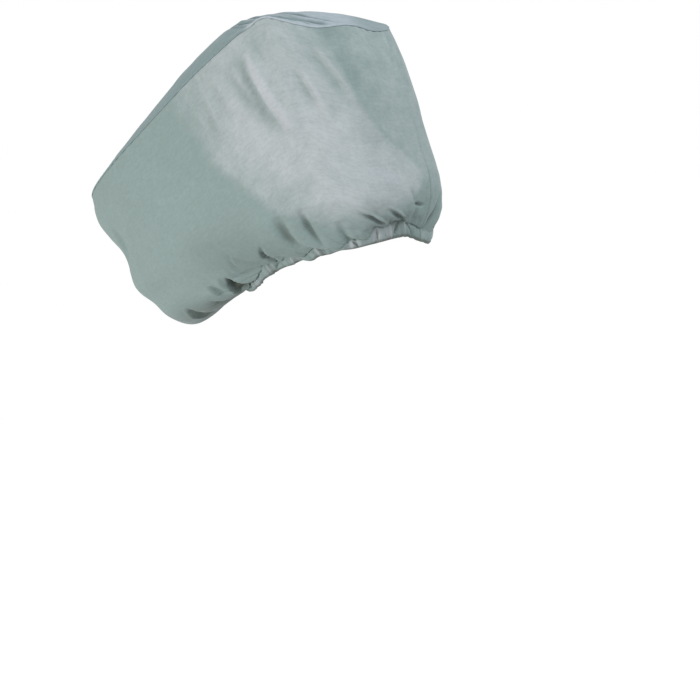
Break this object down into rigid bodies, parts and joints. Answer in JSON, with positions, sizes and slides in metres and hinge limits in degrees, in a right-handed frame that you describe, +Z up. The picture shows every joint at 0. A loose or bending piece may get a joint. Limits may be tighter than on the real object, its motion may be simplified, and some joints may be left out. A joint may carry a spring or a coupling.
{
  "type": "outboard motor cover",
  "caption": "Fitted cloth cover for the head of an outboard motor: a crowned top panel sewn to a wall that is gathered in by an elastic hem round the leg.",
  "frame": {"origin": "where the motor's head carries the cover, at the inner face of the top panel's crown", "axes": "+Z up, +X towards the stern, +Y towards starboard, so the long sloping bow end points to -X"},
  "size_m": [0.7568, 0.4207, 0.5082],
  "materials": {
    "side_wall": "woven, matt",
    "top_panel": "woven, matt"
  },
  "bodies": {
    "root": {"side_wall": "side_wall", "top_panel": "top_panel"}
  },
  "joints": []
}
